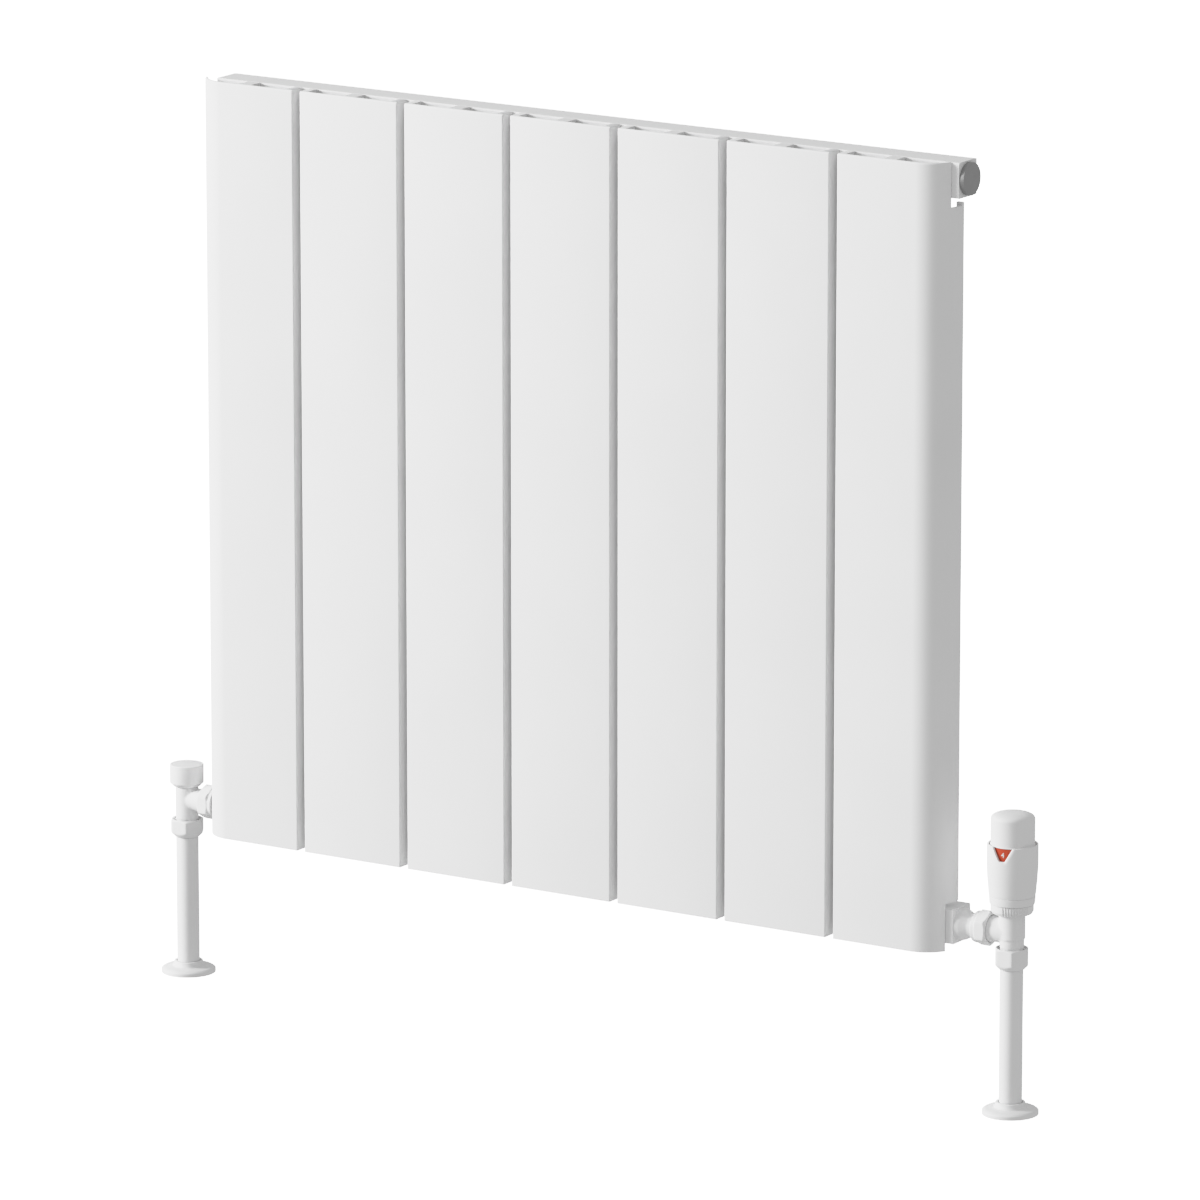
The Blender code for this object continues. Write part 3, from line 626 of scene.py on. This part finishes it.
def make_body(side, prefix, barrel, branch, cavity, barrel_radius, branch_radius):
    """Cast body: barrel and branch run into each other in a soft fillet, with their bores open."""
    solid = to_mesh("barrel", lathe(barrel, closed=False))
    turn = Matrix.Rotation(-side * math.pi / 2, 4, "Y")
    solid = joined(solid, to_mesh("branch", lathe(branch, closed=False), turn))
    bore = to_mesh("cavity", lathe(cavity, 64, closed=False), Matrix.Rotation(0.05, 4, "Z"))
    way = [(0, 0, 0), (6.0, 0, 0), (6.0, 30, 0), (0, 30, 0)]
    waterway = to_mesh("waterway", lathe(way, 64, closed=False), turn)
    solid = cut(solid, [bore, waterway])
    solid = modified(solid, [("REMESH", {"mode": "VOXEL", "voxel_size": BODY_VOXEL * MM})])
    shape = bmesh.new()
    shape.from_mesh(solid)
    near = []
    for vertex in shape.verts:
        x, y, z = (value / MM for value in vertex.co)
        off_barrel = abs(math.hypot(x, y) - barrel_radius)
        off_branch = abs(math.hypot(y, z) - branch_radius)
        if max(off_barrel, off_branch) < SEAM_WIDTH and x * side < 0:
            near.append(vertex)
    for vertices, passes in ((near, SEAM_PASSES), (shape.verts, SKIN_PASSES)):
        for _ in range(passes):
            bmesh.ops.smooth_vert(shape, verts=vertices, factor=0.5, use_axis_x=True, use_axis_y=True,
                                  use_axis_z=True)
    mesh = to_mesh("body", shape, at_branch(side))
    finished(prefix + "_cast_body", mesh, "radiator", VALVE_WHITE, [prefix + "_body"], sharp_degrees=60.0)


def make_floor_parts(side, name, cover_top):
    """White cover round the pipe, and the rose that stands on the floor round it."""
    cover = [(8.75, cover_top, 0.3), (8.75, 0, 0.3), (7.8, 0, 0.2), (7.8, cover_top, 0.2)]
    foot = at(side * PIPE_X, AXIS_Y, 0)
    mesh = to_mesh("cover", lathe(cover), foot)
    finished("lacquered_pipe_cover_" + name, mesh, "radiator", VALVE_WHITE, ["pipe_sleeve_" + name])
    rose = [(9.3, 9.3, 0.3), (11.2, 9.3, 0.6), (11.5, 7.0, 0), (12.6, 5.2, 1.6), (19.3, 4.2, 4.0),
            (21.35, 2.9, 1.2), (21.35, 0, 0.3), (9.3, 0, 0.2)]
    mesh = to_mesh("rose", lathe(rose, 128), foot)
    finished("moulded_rose_" + name, mesh, "rose_" + name, HEAD_PLASTIC, ["floor_rose_" + name])


# ---------------------------------------------------------------- thermostatic valve

RIB_PITCH = math.radians(7.5)
RIB_DEPTH = 1.15
RIB_GROUP = math.radians(75.0)
RIB_CENTRE = math.radians(-50.0)
RIB_BOTTOM = 15.6
RIB_TOP = 22.0
RIB_INNER_RADIUS = 15.0
WINDOW_FACING = math.radians(-90.0 + 3.5)
DIGIT_FACING = math.radians(-86.0)
DIGIT_PITCH = math.radians(50.0)
DIGIT_SIZE = 5.4
DIGIT_HEIGHT = 62.6
DIGIT_LIFT = 0.08
DRUM_RADIUS = 16.9
SLEEVE_RADIUS = 19.25
SLEEVE_TOP = 68.4
SLEEVE_BOTTOM = 28.7
SLEEVE_THICKNESS = 1.6
SHOULDER_Z = 48.2
FOOT_RADIUS = 17.5
WINDOW_HALF_TOP = 8.6
WINDOW_HALF_BOTTOM = 2.2
WINDOW_DEPTH = 10.3


def between_0_and_1(value):
    return min(max(value, 0.0), 1.0)


def ribbed(angle, radius, height):
    """Groups of fine upright ribs with plain stretches between them, fading at the ring's edges."""
    if radius < RIB_INNER_RADIUS:
        return radius
    third = math.radians(120)
    off = (angle - RIB_CENTRE + third / 2) % third - third / 2
    inside = between_0_and_1((RIB_GROUP / 2 - abs(off)) / math.radians(1.5))
    edge = between_0_and_1((height - RIB_BOTTOM) / 0.8) * between_0_and_1((RIB_TOP - height) / 0.5)
    groove = 0.5 - 0.5 * math.cos(2 * math.pi * off / RIB_PITCH)
    return radius - RIB_DEPTH * inside * edge * groove


def crown(radius, base, height, power, pieces):
    """Points of a domed top, from its side up to its middle."""
    points = []
    for step in range(pieces):
        angle = math.pi / 2 * step / pieces
        reach = radius * math.cos(angle) ** (2 / power)
        rise = height * math.sin(angle) ** (2 / power)
        points.append((reach, base + rise, 0))
    return points + [(0, base + height, 0)]


def along(points, share):
    """The point at that share of a polyline's length."""
    lengths = [(b - a).length for a, b in zip(points, points[1:])]
    left = share * sum(lengths)
    for start, end, length in zip(points, points[1:], lengths):
        if left <= length:
            return start.lerp(end, left / length)
        left -= length
    return points[-1]


def sleeve_radius(height):
    """Outer radius: a cylinder that tapers below its shoulder, with a long soft bend between them."""
    slope = (SLEEVE_RADIUS - FOOT_RADIUS) / (SHOULDER_Z - SLEEVE_BOTTOM)
    taper = FOOT_RADIUS + (height - SLEEVE_BOTTOM) * slope
    return soft_min(SLEEVE_RADIUS + 0.12, taper + 0.12, 0.7) - 0.12


def window_ease(distance, width, depth):
    """How far the sleeve's surface has dropped at a distance from the window's edge."""
    if distance >= width:
        return 0.0
    part = 1 - distance / width
    return depth * (1 - math.sqrt(1 - part * part))


def make_sleeve(place):
    """Tapered sleeve with a soft-edged window open at its rim, meshed in rings round that window."""
    rows = 200
    side_rows = 50
    window = rounded([(-WINDOW_HALF_TOP, SLEEVE_TOP, 0),
                      (-WINDOW_HALF_BOTTOM, SLEEVE_TOP - WINDOW_DEPTH, 1.3),
                      (WINDOW_HALF_BOTTOM, SLEEVE_TOP - WINDOW_DEPTH, 1.3),
                      (WINDOW_HALF_TOP, SLEEVE_TOP, 0)], False)
    half_turn = math.pi * SLEEVE_RADIUS
    drop = SLEEVE_TOP - SLEEVE_BOTTOM
    offsets = [0, 0.1, 0.25, 0.45, 0.7, 1.0, 1.35, 1.75, 2.2, 2.7, 3.3, 4.0]
    spread = [((step + 1) / 22) ** 1.3 for step in range(22)]

    inner_path = []
    outer_path = []
    for row in range(rows + 1):
        share = row / rows
        if row <= side_rows:
            dense = (row / side_rows) ** 1.6
            outer_path.append(Vector((-half_turn, SLEEVE_TOP - drop * dense)))
            share = dense * side_rows / rows
        elif row >= rows - side_rows:
            dense = ((rows - row) / side_rows) ** 1.6
            outer_path.append(Vector((half_turn, SLEEVE_TOP - drop * dense)))
            share = 1 - dense * side_rows / rows
        else:
            across = (row - side_rows) / (rows - 2 * side_rows)
            outer_path.append(Vector((half_turn * (2 * across - 1), SLEEVE_BOTTOM)))
        inner_path.append(along(window, share))

    directions = []
    for row, point in enumerate(inner_path):
        before = inner_path[max(row - 3, 0)]
        after = inner_path[min(row + 3, rows)]
        tangent = (after - before).normalized()
        normal = Vector((tangent.y, -tangent.x))
        level = Vector((math.copysign(1, point.x), 0))
        level /= abs(level.dot(normal)) or 1
        near_rim = max(1 - (SLEEVE_TOP - point.y) / 5.0, 0.0)
        directions.append(normal.lerp(level, near_rim))

    shape = bmesh.new()

    def surface(inside):
        grid = []
        for row in range(rows + 1):
            line = []
            across = inner_path[row].x / WINDOW_HALF_BOTTOM
            softer = between_0_and_1(0.5 + across / 2)
            points = [(inner_path[row] + directions[row] * offset, offset) for offset in offsets]
            last = points[-1][0]
            points += [(last.lerp(outer_path[row], share), 99.0) for share in spread]
            for point, distance in points:
                height = min(max(point.y, SLEEVE_BOTTOM), SLEEVE_TOP)
                radius = sleeve_radius(height)
                from_rim = SLEEVE_TOP - height
                from_foot = height - SLEEVE_BOTTOM
                if inside:
                    radius -= SLEEVE_THICKNESS - window_ease(from_rim, 0.5, 0.4)
                else:
                    eased = window_ease(distance, 0.8 + 1.8 * softer, 0.4 + 0.9 * softer)
                    radius -= max(eased, window_ease(from_rim, 0.6, 0.5), window_ease(from_foot, 0.35, 0.25))
                angle = WINDOW_FACING + point.x / SLEEVE_RADIUS
                line.append(shape.verts.new((radius * math.cos(angle) * MM, radius * math.sin(angle) * MM,
                                             height * MM)))
            grid.append(line)
        return grid

    outer = surface(False)
    inner = surface(True)
    for grid in (outer, inner):
        for first, second in zip(grid, grid[1:]):
            for a, b, c, d in zip(first, first[1:], second[1:], second):
                shape.faces.new((a, b, c, d))
    for row in range(rows):
        shape.faces.new((outer[row][0], outer[row + 1][0], inner[row + 1][0], inner[row][0]))
    for row in (0, rows):
        for a, b, c, d in zip(outer[row], outer[row][1:], inner[row][1:], inner[row]):
            shape.faces.new((a, b, c, d))
    for row in range(side_rows, rows - side_rows):
        shape.faces.new((outer[row][-1], outer[row + 1][-1], inner[row + 1][-1], inner[row][-1]))
    mesh = to_mesh("sleeve", shape, place)
    finished("trv_moulded_sleeve", mesh, "radiator", HEAD_PLASTIC, ["trv_sleeve"], sharp_degrees=50.0)


def make_digit(text, angle, place):
    """A raised digit wrapped round the number drum."""
    curve = bpy.data.curves.new("digit", "FONT")
    curve.body = text
    curve.size = DIGIT_SIZE * MM
    curve.align_x = "CENTER"
    curve.align_y = "CENTER"
    curve.extrude = 0.1 * MM
    curve.offset = 0.12 * MM
    curve.resolution_u = 6
    source = bpy.data.objects.new("digit", curve)
    bpy.context.scene.collection.objects.link(source)
    evaluated = source.evaluated_get(bpy.context.evaluated_depsgraph_get())
    mesh = bpy.data.meshes.new_from_object(evaluated)
    bpy.data.objects.remove(source, do_unlink=True)
    for vertex in mesh.vertices:
        x, y, z = vertex.co
        reach = (DRUM_RADIUS + DIGIT_LIFT) * MM + z
        turn = angle + x / (DRUM_RADIUS * MM)
        vertex.co = (reach * math.cos(turn), reach * math.sin(turn), DIGIT_HEIGHT * MM + y)
    mesh.transform(place)
    return mesh


def make_return_spring(place):
    """Coil under the spindle's collar, built at one fixed length; nothing here shortens it as the spindle
    goes down.
    """
    coil_radius = 3.9
    wire_radius = 0.35
    bottom = 9.65
    height = 5.3
    turns = 4
    steps = 24 * turns
    shape = bmesh.new()
    rings = []
    for step in range(steps + 1):
        angle = 2 * math.pi * turns * step / steps
        ring = []
        for corner in range(12):
            round_wire = 2 * math.pi * corner / 12
            reach = coil_radius + wire_radius * math.cos(round_wire)
            level = bottom + height * step / steps + wire_radius * math.sin(round_wire)
            ring.append(shape.verts.new((reach * math.cos(angle) * MM, reach * math.sin(angle) * MM,
                                         level * MM)))
        rings.append(ring)
    for first, second in zip(rings, rings[1:]):
        bridge(shape, first, second)
    shape.faces.new(rings[0])
    shape.faces.new(rings[-1])
    mesh = to_mesh("spring", shape, place)
    piece = finished("trv_return_spring", mesh, "radiator", "steel", ["trv_spring"])
    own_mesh(piece)


def make_thermostatic_valve():
    side = 1
    place = at_branch(side)
    barrel = [(0, 19.6, 0), (13.7, 19.6, 0.3), (13.7, 15.3, 0.3), (9.95, 15.3, 0.8), (9.95, -4.7, 0.3),
              (9.2, -5.4, 0.3), (9.2, -11.8, 0.2), (8.9, -11.9, 0.1), (8.9, -22.7, 0.3), (0, -22.7, 0)]
    branch = [(0, 23.2, 0), (10.2, 23.2, 0.3), (10.2, 15.8, 0.3), (9.5, 14.4, 1.5), (9.5, 1.0, 0),
              (0, 1.0, 0)]
    cavity = [(0, 25.0, 0), (8.3, 25.0, 0), (8.3, 6.0, 0), (7.0, 6.0, 0), (7.0, -5.5, 0), (5.5, -5.5, 0),
              (5.5, -13.7, 0), (7.75, -13.7, 0), (7.75, -27.7, 0), (0, -27.7, 0)]
    make_body(side, "trv", barrel, branch, cavity, 9.95, 9.5)
    make_compression_nut(side, "trv", -28.2, -12.1)
    make_union(side, "trv")

    nut = [(16.15, 22.2, 0.35), (16.15, 17.2, 0.5), (14.9, 15.0, 0.4), (14.0, 15.0, 0.2), (14.0, 21.4, 0),
           (11.8, 21.4, 0), (11.8, 22.2, 0.2)]
    mesh = to_mesh("nut", lathe(nut, 720, ribbed), place)
    finished("trv_ribbed_head_nut", mesh, "radiator", HEAD_PLASTIC, ["trv_head_nut"], sharp_degrees=45.0)
    base = [(15.5, 33.4, 0.3), (15.5, 28.6, 0), (17.45, 28.6, 0.3), (16.95, 22.5, 0.5), (11.5, 22.5, 0),
            (11.5, 21.1, 0), (13.0, 21.1, 0), (13.0, 19.9, 0.2), (3.0, 19.9, 0.2), (3.0, 26.0, 0),
            (13.2, 26.0, 0), (13.2, 33.4, 0.3)]
    mesh = to_mesh("base", lathe(base, 144), place)
    finished("trv_moulded_base", mesh, "radiator", HEAD_PLASTIC, ["trv_head_base"])
    make_return_spring(place)
    make_sleeve(place)

    dome = list(reversed(crown(16.6, 87.0, 5.4, 2.6, 28)))
    cap = dome + [(16.6, 68.5, 0.4), (17.1, 68.0, 0.1), (17.1, 67.6, 0.1), (15.9, 67.6, 0),
                  (15.9, 53.4, 0.3), (14.1, 53.4, 0.3), (14.1, 86.0, 2.0), (0, 89.5, 0)]
    mesh = to_mesh("cap", lathe(cap, 144, closed=False), place)
    finished("trv_domed_cap", mesh, "trv_handwheel", HEAD_PLASTIC, ["trv_cap"], sharp_degrees=40.0)
    drum = [(DRUM_RADIUS, 67.3, 0.15), (DRUM_RADIUS, 55.4, 0.15), (16.1, 55.4, 0.1), (16.1, 67.3, 0.1)]
    mesh = to_mesh("drum", lathe(drum, 144), place)
    finished("trv_dial_drum", mesh, "trv_handwheel", "dial_red", ["trv_number_drum"])
    for index, text in enumerate("543210"):
        angle = DIGIT_FACING + DIGIT_PITCH * (index - 1)
        mesh = make_digit(text, angle, place)
        finished("trv_dial_digit_" + text, mesh, "trv_handwheel", "dial_red", material=DIGIT_WHITE)


# ---------------------------------------------------------------- lockshield valve

def make_lockshield_valve():
    side = -1
    place = at_branch(side)
    barrel = [(0, 13.0, 0), (8.95, 13.0, 0.3), (8.95, -15.8, 0.2), (8.7, -15.9, 0.1), (8.7, -24.7, 0.3),
              (0, -24.7, 0)]
    branch = [(0, 23.2, 0), (10.2, 23.2, 0.3), (10.2, 17.1, 0.2), (9.6, 17.1, 0.2), (9.5, 14.6, 1.5),
              (8.7, 9.0, 2.0), (8.1, 1.0, 0), (0, 1.0, 0)]
    cavity = [(0, 18.0, 0), (6.7, 18.0, 0), (6.7, -5.5, 0), (5.0, -5.5, 0), (5.0, -17.3, 0),
              (7.75, -17.3, 0), (7.75, -29.7, 0), (0, -29.7, 0)]
    make_body(side, "lockshield", barrel, branch, cavity, 8.95, 8.3)
    make_compression_nut(side, "lockshield", -30.2, -16.1)
    make_union(side, "lockshield")
    cap = [(0, 27.9, 0), (13.25, 27.9, 0.7), (13.25, 13.4, 0.4), (10.25, 10.4, 0.3), (9.3, 10.4, 0.2),
           (11.3, 13.9, 0), (11.3, 26.1, 0), (0, 26.1, 0)]
    mesh = to_mesh("cap", lathe(cap, 128, closed=False), place)
    finished("lockshield_moulded_cap", mesh, "lockshield_cover", HEAD_PLASTIC, ["lockshield_cap"])


# ---------------------------------------------------------------- set

BACKGROUND_LEVEL = 2.0
FLOOR_GLOW = 1.95
SURROUND_LEVEL = 0.52
HIGHLIGHT_CURVE = ((0.4, 0.4), (0.8, 0.8), (1.15, 0.885), (1.5, 0.94))


def make_floor():
    """Pale floor, bright enough to run into the white background without an edge."""
    shape = bmesh.new()
    bmesh.ops.create_grid(shape, x_segments=8, y_segments=8, size=30.0)
    floor = bpy.data.objects.new("pale_floor", to_mesh("pale_floor", shape, at(0, 0, -0.2)))
    bpy.context.scene.collection.objects.link(floor)
    material, tree, shader = new_material("pale_floor")
    shader.inputs["Base Color"].default_value = (0.5, 0.5, 0.5, 1)
    shader.inputs["Roughness"].default_value = 0.9
    shader.inputs["Specular IOR Level"].default_value = 0.0
    shader.inputs["Emission Color"].default_value = (1, 1, 1, 1)
    shader.inputs["Emission Strength"].default_value = FLOOR_GLOW
    floor.data.materials.append(material)
    floor.visible_diffuse = False
    floor.visible_glossy = False


def aim(piece, target, azimuth_degrees, elevation_degrees, distance):
    """Stand a lamp or camera at a distance from its target, on the given side of it, and turn it there."""
    azimuth = math.radians(azimuth_degrees)
    elevation = math.radians(elevation_degrees)
    direction = Vector((math.sin(azimuth) * math.cos(elevation), -math.cos(azimuth) * math.cos(elevation),
                        math.sin(elevation)))
    piece.location = target + direction * distance
    piece.rotation_euler = (-direction).to_track_quat("-Z", "Y").to_euler()
    bpy.context.scene.collection.objects.link(piece)


def make_light():
    """Even white surround, and one soft lamp from the front left."""
    world = bpy.data.worlds.new("studio")
    world.use_nodes = True
    tree = world.node_tree
    background = tree.nodes["Background"]
    background.inputs["Color"].default_value = (1, 1, 1, 1)
    path = tree.nodes.new("ShaderNodeLightPath")
    level = tree.nodes.new("ShaderNodeMapRange")
    level.inputs["To Min"].default_value = SURROUND_LEVEL
    level.inputs["To Max"].default_value = BACKGROUND_LEVEL
    tree.links.new(path.outputs["Is Camera Ray"], level.inputs["Value"])
    tree.links.new(level.outputs["Result"], background.inputs["Strength"])
    bpy.context.scene.world = world

    lamp = bpy.data.lights.new("front_left_lamp", "AREA")
    lamp.shape = "DISK"
    lamp.size = 2.2
    lamp.energy = 304.0
    holder = bpy.data.objects.new("front_left_lamp", lamp)
    aim(holder, Vector((0, 0, 0.45)), -55, 17.5, 6.5)


def soften_highlights():
    """Tone curve that rolls bright white surfaces off below the white of the background."""
    settings = bpy.context.scene.view_settings
    settings.view_transform = "Standard"
    settings.use_curve_mapping = True
    mapping = settings.curve_mapping
    mapping.use_clip = False
    mapping.clip_max_x = BACKGROUND_LEVEL
    curve = mapping.curves[3]
    curve.points[-1].location = (BACKGROUND_LEVEL, 1.0)
    for seen, shown in HIGHLIGHT_CURVE:
        curve.points.new(seen, shown)
    for point in curve.points:
        point.handle_type = "AUTO_CLAMPED"
    mapping.update()


def make_camera():
    """Long lens that looks down a little at the object from its front right."""
    data = bpy.data.cameras.new("studio_camera")
    data.lens = 295.6
    data.sensor_width = 36.0
    data.clip_end = 100.0
    camera = bpy.data.objects.new("studio_camera", data)
    aim(camera, Vector((0.00369, 0, 0.3461)), 32.6, 13.14, 7.507)
    bpy.context.scene.camera = camera


def finish_carried_nodes():
    """Give the CAD nodes that still show their finishes."""
    slots = {entry["node"]: entry["material_slot"] for entry in frame["record"]["subparts"]}
    for name, node in frame["nodes"].items():
        for index in range(len(node.material_slots)):
            node.material_slots[index].material = MATERIALS[slots[name]]


make_camera()
make_light()
soften_highlights()
make_floor()
finish_carried_nodes()
make_panels()
make_header("top_header", ["header_boss_top_left", "header_boss_top_right"], TOP_AXIS_Z)
make_header("bottom_header", ["header_boss_bottom_left", "header_boss_bottom_right"], BRANCH_Z)
make_plugs()
make_brackets()
make_thermostatic_valve()
make_lockshield_valve()
make_floor_parts(-1, "left", BRANCH_Z - 30.5)
make_floor_parts(1, "right", BRANCH_Z - 28.5)
